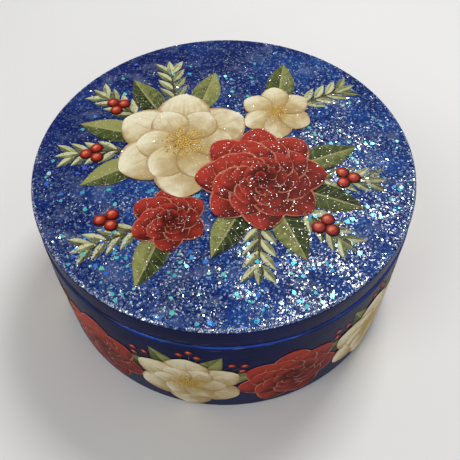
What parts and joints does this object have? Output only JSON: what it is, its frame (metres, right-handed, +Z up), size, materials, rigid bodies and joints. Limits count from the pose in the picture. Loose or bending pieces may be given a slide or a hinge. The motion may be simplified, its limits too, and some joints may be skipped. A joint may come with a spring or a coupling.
{
  "type": "round flower box",
  "caption": "Round board box with an inner neck and a lift-off lid; glitter coats the lid's top, and pasted paper flowers form a bouquet on the lid and a garland round the wall.",
  "frame": {"origin": "on the box's axis, at the underside of the base", "axes": "+Z up along the box's axis, the way the lid lifts; the pictured front faces -Y; +X to its right"},
  "size_m": [0.1606, 0.1608, 0.0707],
  "materials": {
    "blue_board": "gloss",
    "bare_board": "matte",
    "glitter": "gloss",
    "cream_paper": "satin",
    "red_paper": "satin",
    "leaf_paper": "satin",
    "twig_paper": "satin",
    "berry_paper": "satin"
  },
  "bodies": {
    "base": {"body_wall": "blue_board", "base_disc": "bare_board", "neck_ring": "bare_board", "wall_cream_bloom_1": "cream_paper", "wall_cream_bloom_2": "cream_paper", "wall_cream_bloom_3": "cream_paper", "wall_cream_bloom_4": "cream_paper", "wall_cream_bloom_5": "cream_paper", "wall_cream_bloom_6": "cream_paper", "wall_leaf_spray_1": "leaf_paper", "wall_leaf_spray_2": "leaf_paper", "wall_leaf_spray_3": "leaf_paper", "wall_leaf_spray_4": "leaf_paper", "wall_leaf_spray_5": "leaf_paper", "wall_leaf_spray_6": "leaf_paper", "wall_red_bloom_1": "red_paper", "wall_red_bloom_2": "red_paper", "wall_red_bloom_3": "red_paper", "wall_red_bloom_4": "red_paper", "wall_red_bloom_5": "red_paper", "wall_red_bloom_6": "red_paper"},
    "lid": {"lid_hoop": "blue_board", "lid_disc": "bare_board", "glitter_coat": "glitter", "lid_berries_1": "berry_paper", "lid_berries_2": "berry_paper", "lid_berries_3": "berry_paper", "lid_berries_4": "berry_paper", "lid_berries_5": "berry_paper", "lid_cream_bloom": "cream_paper", "lid_leaf_1": "leaf_paper", "lid_leaf_10": "leaf_paper", "lid_leaf_2": "leaf_paper", "lid_leaf_3": "leaf_paper", "lid_leaf_4": "leaf_paper", "lid_leaf_5": "leaf_paper", "lid_leaf_6": "leaf_paper", "lid_leaf_7": "leaf_paper", "lid_leaf_8": "leaf_paper", "lid_leaf_9": "leaf_paper", "lid_red_bloom": "red_paper", "lid_small_cream_bloom": "cream_paper", "lid_small_red_bloom": "red_paper", "lid_twig_1": "twig_paper", "lid_twig_2": "twig_paper", "lid_twig_3": "twig_paper", "lid_twig_4": "twig_paper", "lid_twig_5": "twig_paper", "lid_twig_6": "twig_paper", "lid_twig_7": "twig_paper", "lid_twig_8": "twig_paper"}
  },
  "joints": [
    {"name": "lid_lift", "type": "slide", "parent": "base", "child": "lid", "axis": [0, 0, 1], "range_m": [0, 0.1]}
  ]
}
